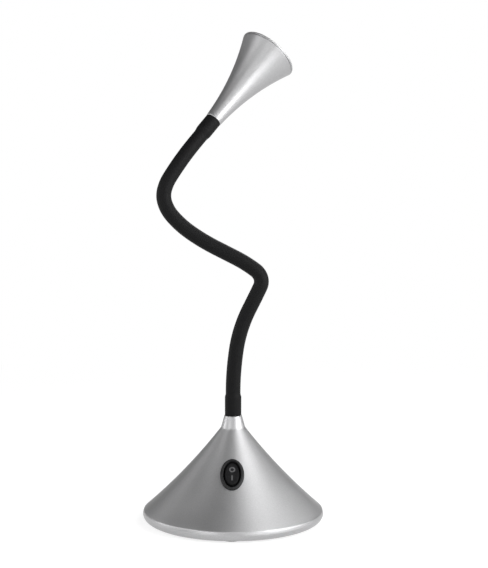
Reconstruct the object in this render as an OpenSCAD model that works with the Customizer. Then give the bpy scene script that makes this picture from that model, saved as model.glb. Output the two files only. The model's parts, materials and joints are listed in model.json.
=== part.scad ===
// Gooseneck desk lamp: a weighted cone base with a rocker switch, a bendable
// arm of ten links in a rubber sleeve, and a trumpet-shaped LED head.
// Millimetres, +Z up. The origin is where the base's axis meets the table,
// and the switch faces -Y.

/* [Base] */
// Diameter of the base at its widest
base_d = 120; // [110:1:140]
// Height of the top of the neck above the table
base_h = 70.5; // [64:0.5:80]
// Height of the crease between the rim and the cone
rim_h = 7.4; // [6.5:0.1:9]
// Radius of the round under the rim
rim_round = 4.5; // [3:0.1:5]
// Radius of the soft crease between rim and cone
crease_round = 2; // [0.5:0.1:3]
// Amount that the cone draws in at the crease
crease_inset = 0.4; // [0:0.1:1]
// Radius of the cone's slightly hollow outline
cone_curve = 390; // [300:10:600]
// Diameter of the neck where it leaves the cone
neck_foot_d = 16; // [15:0.5:20]
// Diameter of the neck at its top
neck_top_d = 11.6; // [11:0.1:14]
// Height of the steep neck above the cone
neck_h = 8; // [6:0.5:12]
// Radius of the fillet between cone and neck
neck_fillet = 4; // [1:0.5:6]
// Wall of the cone
base_wall = 1.6; // [1.2:0.1:2.4]
// Thickness of the steel base plate
plate_t = 1.6; // [1:0.1:3]
// Gap between the base plate and the shell round it
plate_gap = 0.3; // [0.1:0.1:0.6]
// Inset of the base plate's edge from the widest rim
plate_inset = 5.2; // [4.8:0.1:8]

/* [Ballast and feet] */
// Gap between the cast ballast weight and the screw bosses
ballast_gap = 1.5; // [1:0.5:6]
// Thickness of the ballast weight
ballast_t = 8; // [5:0.5:10]
// Diameter of each foot pad
pad_d = 18; // [12:1:20]
// Thickness of each foot pad, which is the gap under the plate
pad_t = 1; // [0.6:0.1:2]
// Number of foot pads
pad_count = 4; // [3:1:6]
// Gap between a pad's edge and the base plate's edge
pad_edge_gap = 1; // [0.5:0.5:5]

/* [Screws and nuts] */
// Thread diameter of the base screws
screw_d = 3; // [2.5:0.1:3.5]
// Head diameter of the base screws
screw_head_d = 5.6; // [5:0.1:6.5]
// Height of a countersunk head
screw_head_h = 1.2; // [0.8:0.1:1.4]
// Length of a base screw
screw_l = 9; // [7:0.5:12]
// Diameter of the boss that takes a base screw
boss_d = 7; // [6:0.5:9]
// Distance of the base screws in from the widest rim
screw_inset = 12; // [11:0.5:13.5]
// Thread diameter of the hollow studs at the arm's two ends
stud_d = 6; // [5.5:0.1:7]
// Width across the flats of the neck nut
nut_flats = 10; // [9:0.5:11]
// Thickness of the neck nut
nut_t = 3; // [2:0.5:4]
// Diameter of the neck washer
washer_d = 12; // [10.5:0.5:13]
// Thickness of the neck washer
washer_t = 0.8; // [0.5:0.1:1.5]

/* [Arm] */
// Length of the arm between the base's neck and the head
arm_length = 243.5; // [225:0.5:260]
// Angle that the arm's plane is turned about the base's axis
arm_turn = 1.2; // [-10:0.2:10]
// Outer diameter of the rubber sleeve
sleeve_d = 9.8; // [9.2:0.1:10.4]
// Outer diameter of the sleeve over the end ferrules
cuff_d = 10.9; // [10.6:0.1:11.4]
// Length of the cuff at the base, without its taper
lower_cuff_l = 12; // [11:0.5:13]
// Length of the cuff at the head, without its taper
upper_cuff_l = 10.5; // [10:0.5:11]
// Length of the taper from sleeve to cuff at the base
lower_taper_l = 2.5; // [1:0.5:3]
// Length of the taper from sleeve to cuff at the head
upper_taper_l = 4; // [1:0.5:4.5]
// Outer diameter of the wound steel core
core_d = 6.8; // [6.2:0.1:7.2]
// Bore of the wound steel core
core_bore = 4; // [3.4:0.1:4.4]
// Diameter of the lead through the core
lead_d = 2.4; // [2:0.1:2.8]
// Gap between the round end of a link and the cup of the next
joint_gap = 0.3; // [0.2:0.05:0.5]

/* [Ferrules] */
// Outer diameter of the ferrule barrels
ferrule_d = 8.6; // [8.2:0.1:9]
// Length of the barrel at the base
lower_barrel_l = 11.5; // [8:0.5:12]
// Length of the barrel at the head
upper_barrel_l = 10; // [8:0.5:10]
// Thickness of the barrel's floor
ferrule_floor = 1.5; // [1:0.1:2.5]
// Length of the stud at the base
lower_stud_l = 16; // [15:0.5:20]
// Length of the stud at the head
upper_stud_l = 9; // [6:0.5:11]
// Bore through the studs
stud_bore = 3.4; // [2.9:0.1:3.6]

/* [Head] */
// Length of the head shell
head_l = 61; // [54:0.5:70]
// Diameter of the head where it meets the arm
head_neck_d = 11.3; // [11:0.1:13]
// Diameter of the head at its mouth
head_mouth_d = 40; // [37:0.2:44]
// Wall of the head shell
head_wall = 1.2; // [0.8:0.1:1.8]
// Radius of the mouth's edge
mouth_round = 0.3; // [0.2:0.1:0.6]
// Length of the solid stem that takes the stud
stem_l = 12; // [10:0.5:16]
// Distance from the mouth back to the heat sink's back
sink_inset = 26.6; // [25:0.2:30]
// Length of the heat sink
sink_l = 13; // [10:0.5:14]
// Number of slots in the heat sink's rim
sink_slots = 12; // [8:1:16]
// Thickness of the LED board
led_board_t = 1; // [0.8:0.1:1.6]
// Thread diameter of the screws that hold the LED board
board_screw_d = 2; // [1.6:0.1:2.4]
// Side of the square LED chip
chip_w = 6; // [4:0.5:8]
// Thickness of the LED chip
chip_t = 1; // [0.6:0.1:1.6]
// Wall of the reflector
reflector_wall = 0.8; // [0.5:0.1:1.2]
// Opening of the reflector at the LED
reflector_eye_d = 11; // [10:0.5:13]
// Thickness of the lens
lens_t = 2; // [1:0.1:3]
// Height of the lens's dome
lens_dome = 1; // [0.5:0.1:2]
// Height that the lens ring stands proud of the mouth
ring_proud = 1.6; // [1.2:0.1:3]
// Width of the lens ring inside the mouth
ring_w = 1.8; // [1.2:0.1:2.6]
// Radius of the lens ring's front edge
ring_round = 0.7; // [0.4:0.1:1]
// Gap of the groove between the lens ring and the mouth
ring_gap = 0.15; // [0.1:0.05:0.4]

/* [Switch] */
// Height of the switch's centre on the cone
switch_z = 37; // [32:0.5:42]
// Width of the switch's oval bezel
bezel_w = 15.6; // [14.5:0.1:17]
// Height of the switch's oval bezel
bezel_h = 22.8; // [22.4:0.1:26]
// Height of the bezel above the cone
bezel_t = 1.6; // [1:0.1:2.4]
// Width of the well that holds the rocker
well_w = 11.6; // [11:0.1:12]
// Height of the well that holds the rocker
well_h = 19.2; // [18.5:0.1:19.6]
// Depth of the switch body behind the cone
body_depth = 14; // [12:0.5:16]
// Margin of the bezel round the switch body
bezel_margin = 0.8; // [0.6:0.1:1.2]
// Gap between the rocker and its well at the sides
rocker_gap = 1; // [0.8:0.05:1.2]
// Gap between the rocker and its well at the ends
rocker_end_gap = 1; // [0.8:0.1:1.4]
// Radius of the rounding round the rocker's face
rocker_round = 1; // [0.4:0.1:1.2]
// Depth of the middle of the rocker's face behind the bezel's front
rocker_sink = 0.6; // [0.2:0.1:0.8]
// Radius of the hollow along the rocker's face
rocker_bow = 70; // [50:5:120]
// Height of the raised marks on the rocker
mark_t = 0.25; // [0.1:0.05:0.4]
// Depth of the rocker's pivot behind the bezel's front
pivot_depth = 3; // [2:0.1:4]
// Angle that the rocker is tilted in each position
rocker_tilt = 6; // [4:1:7]
// Diameter of the rocker's pivot pins
pivot_pin_d = 2; // [1.6:0.1:2.4]
// Running clearance of the pivot pins
pin_clear = 0.06; // [0.02:0.01:0.1]
// Diameter of the spring plunger under the rocker
plunger_d = 2; // [1.6:0.1:2.6]
// Gap between the plunger's tip and the moving contact
plunger_gap = 0.3; // [0.2:0.05:0.5]
// Length of the moving contact
contact_l = 11; // [9:0.5:12]
// Width of the moving contact
contact_w = 4; // [3:0.1:5]
// Thickness of the contact metal
contact_t = 0.6; // [0.4:0.1:0.8]
// Angle of the moving contact in each position
contact_tilt = 3; // [2:0.5:4]
// Length of the terminal blades behind the switch body
blade_l = 7; // [5:0.5:8]
// Width of a terminal blade
blade_w = 4.8; // [4:0.1:5.4]

/* [Electrics] */
// Diameter of the inlet hole for the mains flex
inlet_d = 6.2; // [5:0.1:7]
// Outer diameter of the inlet bush
gland_d = 9; // [8.2:0.1:9.4]
// Height of the inlet bush's axis above the table
gland_z = 17; // [17:0.5:20]
// Distance of the inlet bush's outer face in from the widest rim
gland_inset = 2.5; // [2:0.5:4]
// Length of the inlet bush
gland_l = 21.5; // [20:0.5:24]
// Length of the shoulder behind the shell
gland_shoulder_l = 5; // [3:0.5:6]
// Height of the bush's collar and shoulder over its body
gland_lip = 0.8; // [0.4:0.1:1]
// Width of the driver case
driver_w = 40; // [34:1:44]
// Depth of the driver case
driver_d = 22; // [20:1:26]
// Height of the driver case
driver_h = 13; // [10:0.5:14]
// Wall of the driver case
driver_wall = 1.2; // [0.8:0.1:2]
// Distance of the driver case's front from the axis
driver_y = 3; // [2:1:6]
// Thickness of the driver's circuit board
board_t = 1.6; // [1:0.1:2]
// Width of the terminal block
block_w = 15; // [12:0.5:18]
// Depth of the terminal block
block_d = 9; // [8:0.5:10]
// Height of the terminal block
block_h = 8; // [6:0.5:10]
// Distance of the terminal block's centre in from the ballast's edge
block_inset = 7; // [6:0.5:12]
// Diameter of the leads inside the base
wire_d = 1.6; // [1.2:0.1:2]

/* [Hidden] */

$fn = 72;
// One overrun for every cut, and one clearance for every seat inside a body
overrun = 1;
fit = 0.05;
// The fine seam between two arcs of one tube
seam_gap = 0.2;
seam_depth = 0.03;

// The arm is a row of arcs. Each arc has the link that it belongs to, its share of the arm's
// length, the angle that it bends, and the side that it bends towards: 0 right, 90 back, 180 left.
arc_links = [1, 2, 2, 3, 4, 4, 4, 5, 6, 6, 7, 7, 7, 8, 8, 9, 10];
arc_shares = [30, 33, 23, 60, 31, 14, 11, 31, 27, 16, 26, 31, 19, 18, 17, 58, 42];
arc_bend_angles = [0, 5, 3, 19, 2, 48, 30, 10, 0, 3, 6, 14, 23, 33, 17, 12, 0];
arc_side_angles = [0, 0, 0, 0, 180, 180, 180, 180, 0, -15, -10, -5, 15, 10, 15, 60, 0];
arc_count = len(arc_links);
link_count = 10;
dome_r = sleeve_d / 2;
cup_r = dome_r + joint_gap;
wire_end = wire_d / 2;

// Sizes that follow from the driving ones
base_r = base_d / 2;
cone_foot_r = base_r - crease_inset;
cone_top_z = base_h - neck_h;
plate_z = pad_t;
ballast_z = plate_z + plate_t;
floor_z = ballast_z + ballast_t;
plate_r = base_r - plate_inset - plate_gap;
pad_r = plate_r - pad_edge_gap - pad_d / 2;
screw_r = base_r - screw_inset;
ballast_r = screw_r - boss_d / 2 - ballast_gap;
block_x = ballast_r - block_inset;
slot_y = driver_y + 2 * driver_wall + 1.5 * wire_d;
body_w = bezel_w - 2 * bezel_margin;
body_h = bezel_h - 2 * bezel_margin;
seat_z = cone_top_z - base_wall;
socket_d = ferrule_d + 2 * fit;
core_hole_d = core_d + 2 * fit;

function total(list, i = 0) = i < len(list) ? list[i] + total(list, i + 1) : 0;
function arc_length(k) = arm_length * arc_shares[k] / total(arc_shares);
function arcs_of(i) = [for (k = [0:arc_count - 1]) if (arc_links[k] == i) k];
function unit(v) = v / norm(v);
function turned(p, a) = [p[0] * cos(a) - p[1] * sin(a), p[0] * sin(a) + p[1] * cos(a)];

// A corner of an outline rounded by an arc of radius r
function rounded(before, corner, after, r, steps = 8) =
    let (
        u = unit(before - corner),
        v = unit(after - corner),
        half = acos(u * v) / 2,
        centre = corner + unit(u + v) * r / sin(half),
        first = corner + u * r / tan(half) - centre,
        side = (u[0] * v[1] - u[1] * v[0]) > 0 ? -1 : 1
    )
    [for (i = [0:steps]) centre + turned(first, side * (180 - 2 * half) * i / steps)];

// The points of an arc of radius r from p to q, hollow on the side away from the axis
function hollow_arc(p, q, r, steps = 24) =
    let (
        chord = q - p,
        mid = (p + q) / 2,
        out = unit([-chord[1], chord[0]]) * (chord[1] > 0 ? -1 : 1),
        centre = mid + out * sqrt(r * r - chord * chord / 4),
        sweep = 2 * asin(norm(chord) / 2 / r)
    )
    [for (i = [0:steps]) centre + turned(p - centre, -sweep * i / steps)];

// The outside of the base from the rim's underside up to the neck, set in by a wall
function cone_line(inset) =
    let (
        foot = [cone_foot_r, rim_h],
        top = [neck_foot_d / 2, cone_top_z],
        inward = unit([foot[1] - top[1], top[0] - foot[0]]) * inset
    )
    hollow_arc(foot + inward, top + inward, cone_curve + inset);

function base_outline() =
    let (
        cone = cone_line(0),
        last = len(cone) - 1,
        rim_foot = [base_r, pad_t]
    )
    concat(
        [[0, pad_t]],
        rounded([0, pad_t], rim_foot, [base_r, rim_h], rim_round),
        rounded([base_r, rim_h - crease_round], cone[0], cone[1], crease_round),
        [for (i = [1:last - 1]) cone[i]],
        rounded(cone[last - 1], cone[last], [neck_top_d / 2, base_h], neck_fillet),
        [[neck_top_d / 2, base_h], [0, base_h]]
    );

// The hollow inside the base, which a flat seat for the neck nut closes
function base_inside() =
    let (
        line = cone_line(base_wall),
        kept = [for (p = line) if (p[1] > rim_h && p[1] < seat_z) p],
        rim_in = base_r - base_wall
    )
    concat(
        [[0, plate_z - overrun], [plate_r + plate_gap, plate_z - overrun]],
        [[plate_r + plate_gap, ballast_z], [rim_in - rim_round / 2, ballast_z]],
        [[rim_in, rim_round], [rim_in, rim_h - base_wall / 2]],
        kept,
        [[0, kept[len(kept) - 1][1]]]
    );

// The head's outer radius at a share t of its length
function flare_r(t) =
    let (
        taper_share = 0.27,
        flare_power = 2.1,
        rise = taper_share * t + (1 - taper_share) * pow(t, flare_power)
    )
    head_neck_d / 2 + (head_mouth_d - head_neck_d) / 2 * rise;
function flare_angle(t) =
    let (step_share = 0.001)
    atan((flare_r(t + step_share) - flare_r(t)) / (step_share * head_l));

// The head's outline in radius and distance from the arm, set in by a wall
function head_line(inset) =
    let (steps = 36)
    [for (i = [0:steps + 2])
        let (t = i / steps, a = flare_angle(t))
        [flare_r(t) - inset * cos(a), t * head_l + inset * sin(a)]];
function line_r(line, s) = lookup(s, [for (p = line) [p[1], p[0]]]);
function sink_back() = head_l - sink_inset;
function sink_front() = sink_back() + sink_l;
function board_front() = sink_front() + led_board_t;
function lens_back() = head_l - lens_t + ring_proud - lens_dome;

// Placement on the arm
module arc_step(k) {
    bend = arc_bend_angles[k];
    length = arc_length(k);
    rotate([0, 0, arc_side_angles[k]])
        translate(bend == 0 ? [0, 0, length] : arc_end(length, bend))
            rotate([0, bend, 0])
                rotate([0, 0, -arc_side_angles[k]])
                    children();
}
function arc_end(length, bend) =
    let (r = length / bend * 180 / PI)
    [r * (1 - cos(bend)), 0, r * sin(bend)];

module at_arc(k) {
    if (k == 0)
        translate([0, 0, base_h]) rotate([0, 0, arm_turn]) children();
    else
        at_arc(k - 1) arc_step(k - 1) children();
}
module at_link_start(i) {
    at_arc(arcs_of(i)[0]) children();
}
module at_link_end(i) {
    last = arcs_of(i)[len(arcs_of(i)) - 1];
    at_arc(last + 1) children();
}
module at_head() {
    at_link_end(link_count) children();
}

// A tube along one arc of the arm, set back at its ends by two lengths
module arc_tube(k, r, bore, back_a, back_b) {
    bend = arc_bend_angles[k];
    length = arc_length(k);
    if (bend == 0)
        translate([0, 0, back_a]) difference() {
            cylinder(r = r, h = length - back_a - back_b);
            if (bore > 0) translate([0, 0, -overrun]) cylinder(r = bore, h = length + 2 * overrun);
        }
    else {
        turn_r = length / bend * 180 / PI;
        rotate([0, 0, arc_side_angles[k]]) translate([turn_r, 0, 0]) rotate([90, 0, 0])
            rotate_extrude(
                angle = -bend * (length - back_a - back_b) / length,
                start = 180 - bend * back_a / length
            )
                translate([turn_r, 0]) difference() {
                    circle(r = r);
                    if (bore > 0) circle(r = bore);
                }
    }
}

// A link's tube: a cup at its start, its arcs with a fine seam between them, and a round end
module link_tube(i, r, bore) {
    arcs = arcs_of(i);
    last = len(arcs) - 1;
    inner = bore > 0 ? bore + seam_depth : 0;
    for (n = [0:last])
        difference() {
            at_arc(arcs[n]) arc_tube(arcs[n], r, bore,
                n == 0 ? 0 : seam_gap / 2, n == last && i == link_count ? 0 : seam_gap / 2);
            if (n == 0 && i > 1) at_link_start(i) sphere(r = cup_r);
        }
    for (n = [1:last + (i == link_count ? 0 : 1)])
        at_arc(arcs[0] + n) translate([0, 0, -seam_gap]) difference() {
            cylinder(r = r - seam_depth, h = 2 * seam_gap);
            if (bore > 0) translate([0, 0, -overrun]) cylinder(r = inner, h = 2 * (seam_gap + overrun));
        }
    if (i < link_count) at_link_end(i) difference() {
        intersection() {
            translate([0, 0, seam_gap / 2]) cylinder(r = r, h = dome_r);
            sphere(r = dome_r);
        }
        if (bore > 0) translate([0, 0, -overrun]) cylinder(r = bore, h = dome_r + 2 * overrun);
    }
}

// The thicker sleeve over a ferrule, from its open end towards its taper
module cuff(length, taper_l) {
    cylinder(d = cuff_d, h = length);
    translate([0, 0, length]) cylinder(d1 = cuff_d, d2 = sleeve_d, h = taper_l);
}

module arm_sleeve(i) {
    last_l = arc_length(arc_count - 1);
    color([0.12, 0.12, 0.13]) difference() {
        union() {
            if (i < link_count) link_tube(i, sleeve_d / 2, core_hole_d / 2);
            if (i == 1) at_link_start(i) cuff(lower_cuff_l, lower_taper_l);
            if (i == link_count) at_head() mirror([0, 0, 1]) {
                cylinder(d = sleeve_d, h = last_l);
                cuff(upper_cuff_l, upper_taper_l);
            }
        }
        if (i == 1) at_link_start(i) translate([0, 0, -overrun]) {
            cylinder(d = socket_d, h = lower_barrel_l + fit + overrun);
            cylinder(d = core_hole_d, h = lower_cuff_l + lower_taper_l + overrun);
        }
        if (i == link_count) {
            at_link_start(i) sphere(r = cup_r);
            at_head() mirror([0, 0, 1]) translate([0, 0, -overrun]) {
                cylinder(d = socket_d, h = upper_barrel_l + fit + overrun);
                cylinder(d = core_hole_d, h = last_l + overrun);
            }
        }
    }
}

module arm_core(i) {
    color([0.62, 0.63, 0.65]) difference() {
        link_tube(i, core_d / 2, core_bore / 2);
        if (i == 1) at_link_start(i) translate([0, 0, -overrun])
            cylinder(d = ferrule_d, h = overrun + ferrule_floor + fit);
        if (i == link_count) at_head() translate([0, 0, -ferrule_floor - fit])
            cylinder(d = ferrule_d, h = overrun + ferrule_floor + fit);
    }
}

module arm_lead(i) {
    color([0.85, 0.84, 0.8]) {
        link_tube(i, lead_d / 2, 0);
        if (i == 1) at_link_start(i) translate([0, 0, -lower_stud_l])
            cylinder(d = lead_d, h = lower_stud_l);
        if (i == link_count) at_head() cylinder(d = lead_d, h = sink_front() - fit);
    }
}

// A ferrule: a barrel round the core's end, and a hollow stud beyond it
module ferrule(barrel_l, stud_l) {
    color([0.7, 0.7, 0.72]) difference() {
        union() {
            cylinder(d = ferrule_d, h = barrel_l);
            translate([0, 0, -stud_l]) cylinder(d = stud_d, h = stud_l + fit);
        }
        translate([0, 0, ferrule_floor]) cylinder(d = core_hole_d, h = barrel_l);
        translate([0, 0, -stud_l - overrun]) cylinder(d = stud_bore, h = stud_l + barrel_l);
    }
}
module lower_ferrule() {
    at_link_start(1) ferrule(lower_barrel_l, lower_stud_l);
}
module upper_ferrule() {
    at_head() mirror([0, 0, 1]) ferrule(upper_barrel_l, upper_stud_l);
}

// The base
module base_form() {
    rotate_extrude($fn = 180) polygon(base_outline());
}
module at_screws() {
    for (a = [45:90:315]) rotate([0, 0, a]) translate([screw_r, 0, 0]) children();
}
module at_gland() {
    translate([0, base_r - gland_inset, gland_z]) rotate([90, 0, 0]) children();
}
module base_shell() {
    color([0.72, 0.73, 0.75]) difference() {
        union() {
            difference() {
                base_form();
                rotate_extrude($fn = 180) polygon(base_inside());
            }
            intersection() {
                base_form();
                at_screws() translate([0, 0, ballast_z + fit]) cylinder(d = boss_d, h = base_h);
            }
        }
        at_screws() translate([0, 0, ballast_z - overrun])
            cylinder(d = screw_d + 2 * fit, h = screw_l + overrun);
        translate([0, 0, seat_z - neck_h]) cylinder(d = stud_d + 2 * fit, h = base_h);
        at_gland() cylinder(d = gland_d + 2 * fit, h = gland_l);
        at_switch() translate([0, 0, -body_depth])
            oval(body_w + 2 * fit, body_h + 2 * fit, body_depth + bezel_t);
    }
}

module base_plate() {
    color([0.35, 0.36, 0.38]) difference() {
        translate([0, 0, plate_z]) cylinder(r = plate_r, h = plate_t, $fn = 144);
        at_screws() screw_form(2 * fit);
    }
}
module screw_form(gap) {
    translate([0, 0, plate_z]) {
        cylinder(d1 = screw_head_d + gap, d2 = screw_d + gap, h = screw_head_h);
        cylinder(d = screw_d + gap, h = screw_l);
    }
}
module base_screws() {
    color([0.75, 0.75, 0.72]) at_screws() difference() {
        screw_form(0);
        for (a = [0, 90]) rotate([0, 0, a])
            translate([-screw_d / 2, -screw_d / 8, 0])
                cube([screw_d, screw_d / 4, plate_z + screw_head_h / 2]);
    }
}
module foot_pads() {
    color([0.45, 0.45, 0.46]) for (i = [0:pad_count - 1])
        rotate([0, 0, 360 * i / pad_count - 90]) translate([pad_r, 0, 0])
            cylinder(d = pad_d, h = pad_t);
}
module ballast_weight() {
    edge = ballast_t / 8;
    color([0.3, 0.3, 0.32]) translate([0, 0, ballast_z]) {
        cylinder(r = ballast_r, h = ballast_t - edge, $fn = 144);
        translate([0, 0, ballast_t - edge])
            cylinder(r1 = ballast_r, r2 = ballast_r - edge, h = edge, $fn = 144);
    }
}

module neck_washer() {
    color([0.75, 0.76, 0.78]) translate([0, 0, nut_seat_z() - washer_t]) difference() {
        cylinder(d = washer_d, h = washer_t);
        translate([0, 0, -overrun]) cylinder(d = stud_d + 2 * fit, h = washer_t + 2 * overrun);
    }
}
module neck_nut() {
    color([0.78, 0.74, 0.6]) translate([0, 0, nut_seat_z() - washer_t - nut_t]) difference() {
        cylinder(d = nut_flats / cos(30), h = nut_t, $fn = 6);
        translate([0, 0, -overrun]) cylinder(d = stud_d + 2 * fit, h = nut_t + 2 * overrun);
    }
}
function nut_seat_z() = base_inside()[len(base_inside()) - 1][1];

// The mains inlet: a push-in bush with a collar outside the cone and a shoulder inside it
module cable_gland() {
    lip_d = gland_d + 2 * gland_lip;
    color([0.1, 0.1, 0.11]) difference() {
        union() {
            at_gland() cylinder(d = gland_d, h = gland_l);
            at_gland() translate([0, 0, gland_l - gland_shoulder_l])
                cylinder(d = lip_d, h = gland_shoulder_l);
            difference() {
                intersection() {
                    at_gland() cylinder(d = lip_d, h = gland_l - gland_shoulder_l);
                    translate([0, 0, gland_lip]) base_form();
                }
                base_form();
            }
        }
        at_gland() translate([0, 0, -overrun]) cylinder(d = inlet_d, h = gland_l + 2 * overrun);
    }
}

// The driver that feeds the LED, in an open case on the ballast
module driver_case() {
    color([0.9, 0.9, 0.88]) translate([-driver_w / 2, driver_y, floor_z]) difference() {
        cube([driver_w, driver_d, driver_h]);
        translate([driver_wall, driver_wall, driver_wall])
            cube([driver_w - 2 * driver_wall, driver_d - 2 * driver_wall, driver_h]);
        // Slot for the lead from the terminal block
        translate([-overrun, slot_y - driver_y - 1.5 * wire_d, driver_wall + board_t])
            cube([driver_wall + 2 * overrun, 3 * wire_d, driver_h]);
    }
}
module driver_board() {
    inset = driver_wall + fit;
    color([0.1, 0.4, 0.2]) translate([inset - driver_w / 2, driver_y + inset, floor_z + driver_wall])
        cube([driver_w - 2 * inset, driver_d - 2 * inset, board_t]);
}
module driver_components() {
    room = driver_h - driver_wall - board_t;
    place_y = driver_y + driver_d / 2;
    translate([0, place_y, floor_z + driver_wall + board_t]) {
        // Transformer: a wound bobbin in a square ferrite core
        color([0.25, 0.24, 0.24]) translate([-driver_w / 8, 0, 0]) difference() {
            translate([-room * 0.7, -room * 0.6, 0]) cube([room * 1.4, room * 1.2, room]);
            translate([0, 0, -overrun]) cylinder(r = room / 8, h = room + 2 * overrun);
        }
        // Smoothing capacitor
        color([0.2, 0.25, 0.5]) translate([driver_w * 0.3, driver_d * 0.15, 0])
            cylinder(r = room * 0.4, h = room);
        // Bridge rectifier and inlet capacitor
        color([0.12, 0.12, 0.12]) translate([driver_w * 0.22, -driver_d * 0.35, 0])
            cube([room * 0.8, room * 0.5, room / 3]);
        color([0.75, 0.55, 0.15]) translate([-driver_w * 0.42, -driver_d * 0.2, 0])
            cube([room / 3, driver_d * 0.4, room * 0.7]);
    }
}
module terminal_block() {
    color([0.92, 0.92, 0.88]) translate([-block_x, slot_y - block_w / 4, floor_z]) difference() {
        translate([-block_d / 2, -block_w / 2, 0]) cube([block_d, block_w, block_h]);
        for (side = [-1, 1]) translate([0, side * block_w / 4, 0]) {
            translate([-block_d, 0, block_h * 0.4]) rotate([0, 90, 0])
                cylinder(d = wire_d + 2 * fit, h = 2 * block_d);
            translate([0, 0, block_h * 0.6]) cylinder(d = block_d / 3, h = block_h);
        }
    }
}

// A lead through the points of a smooth curve with four handles
function curve(a, b, c, d, steps = 6) =
    [for (i = [0:steps])
        let (t = i / steps, u = 1 - t)
        a * u * u * u + b * 3 * u * u * t + c * 3 * u * t * t + d * t * t * t];
module wire(points) {
    for (i = [0:len(points) - 2]) hull() {
        translate(points[i]) sphere(d = wire_d, $fn = 8);
        translate(points[i + 1]) sphere(d = wire_d, $fn = 8);
    }
}
module base_leads() {
    board_top = floor_z + driver_wall + board_t + wire_end;
    arm_end = [0, 0, base_h - lower_stud_l - wire_end];
    block_end = [wire_end - block_x + block_d / 2, slot_y, floor_z + block_h * 0.4];
    block_other = block_end - [0, block_w / 2, 0];
    over_case = [0, 0, 2 * driver_h];
    from_board = [driver_w * 0.42, driver_y + driver_d / 2, board_top];
    on_board = [-driver_w * 0.38, slot_y, board_top + wire_d];
    by_coil = [-driver_w / 8, driver_y + driver_wall + 1.5 * wire_d, board_top];
    color([0.7, 0.15, 0.12]) {
        // From the driver up to the arm's lead
        wire(curve(from_board, from_board + over_case, arm_end - [0, 0, driver_h], arm_end));
        // From the terminal block to the driver
        wire(curve(
            block_end, block_end + [block_d / 2, 0, wire_d],
            on_board - [block_d, 0, -wire_d], on_board));
        // From the terminal block to the switch, and from the switch to the driver
        wire(curve(
            block_other, block_other + [block_d, 0, 0],
            behind_switch(0, 2 * blade_l), behind_switch(0, wire_end)));
        wire(curve(
            behind_switch(blade_places()[1], wire_end), behind_switch(blade_places()[1], blade_l / 2),
            by_coil + over_case, by_coil));
    }
}
// A point behind a terminal blade, some way past its tip
function behind_switch(y, past) =
    let (a = cone_slope(), deep = body_depth + blade_l + past)
    [0, y * sin(a) + deep * cos(a) - line_r(cone_line(0), switch_z), switch_z + y * cos(a) - deep * sin(a)];

// The switch. Its own frame has +Z out of the cone and +Y up the slope.
function cone_slope() =
    let (line = cone_line(0), a = lookup(switch_z - 1, [for (p = line) [p[1], p[0]]]),
        b = lookup(switch_z + 1, [for (p = line) [p[1], p[0]]]))
    atan((a - b) / 2);
module at_switch() {
    r = line_r(cone_line(0), switch_z);
    translate([0, -r, switch_z]) rotate([90 - cone_slope(), 0, 0]) children();
}
module oval(w, h, depth) {
    linear_extrude(height = depth)
        polygon([for (a = [0:7.5:352.5]) [w / 2 * cos(a), h / 2 * sin(a)]]);
}
module at_pivot() {
    at_switch() translate([0, 0, bezel_t - pivot_depth]) children();
}
module switch_housing() {
    floor_t = 2 * contact_t;
    pins = well_w + 2 * (bezel_w - well_w) / 3;
    color([0.12, 0.12, 0.13]) difference() {
        union() {
            // Bezel, seated on the cone
            difference() {
                at_switch() translate([0, 0, -bezel_t]) bezel_form();
                base_form();
            }
            at_switch() translate([0, 0, -body_depth])
                oval(body_w, body_h, body_depth + fit);
        }
        at_switch() translate([0, 0, -body_depth + floor_t])
            oval(well_w, well_h, body_depth + bezel_t + overrun);
        at_pivot() rotate([0, 90, 0]) cylinder(d = pivot_pin_d + 2 * pin_clear, h = pins, center = true);
        at_switch() for (y = blade_places())
            translate([-blade_w / 2 - fit, y - contact_t / 2 - fit, -body_depth - overrun])
                cube([blade_w + 2 * fit, contact_t + 2 * fit, floor_t + 2 * overrun]);
    }
}
// The bezel's face, rounded over towards its edge
module bezel_form() {
    steps = 4;
    for (i = [0:steps - 1]) {
        round_r = bezel_t * 0.6;
        a = 90 * i / steps;
        b = 90 * (i + 1) / steps;
        inset = round_r * (1 - cos(a));
        oval(bezel_w - 2 * inset, bezel_h - 2 * inset, 2 * bezel_t - round_r + round_r * sin(b));
    }
}
function blade_places() = [0, well_h / 4];

module switch_rocker() {
    w = well_w - 2 * rocker_gap;
    h = well_h - 2 * rocker_end_gap;
    depth = 2 * pivot_depth;
    ends = pivot_depth - rocker_sink + h * h / 8 / rocker_bow;
    color([0.17, 0.17, 0.18]) at_pivot() rotate([-rocker_tilt, 0, 0]) difference() {
        union() {
            difference() {
                intersection() {
                    translate([0, 0, ends - depth]) rocker_form(w, h, depth);
                    rotate([0, 90, 0]) cylinder(r = h / 2 + fit, h = 2 * w, center = true);
                }
                rocker_hollow(rocker_bow, 2 * w);
            }
            rotate([0, 90, 0])
                cylinder(d = pivot_pin_d, h = well_w + (bezel_w - well_w) / 3, center = true);
            // Raised marks that follow the hollow
            difference() {
                intersection() {
                    rocker_marks(depth);
                    rocker_hollow(rocker_bow + fit, w);
                }
                rocker_hollow(rocker_bow - mark_t, 2 * w);
            }
        }
        // Hollow under the rocker for the plunger
        translate([0, 0, -depth]) cylinder(d = plunger_d + 2 * fit, h = depth + pivot_pin_d);
    }
}
module rocker_hollow(r, w) {
    translate([0, 0, pivot_depth - rocker_sink + rocker_bow]) rotate([0, 90, 0])
        cylinder(r = r, h = w, center = true, $fn = 720);
}
module rocker_form(w, h, depth) {
    steps = 4;
    for (i = [0:steps - 1]) {
        inset = rocker_round * (1 - cos(90 * i / steps));
        oval(w - 2 * inset, h - 2 * inset, depth - rocker_round + rocker_round * sin(90 * (i + 1) / steps));
    }
}
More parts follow.
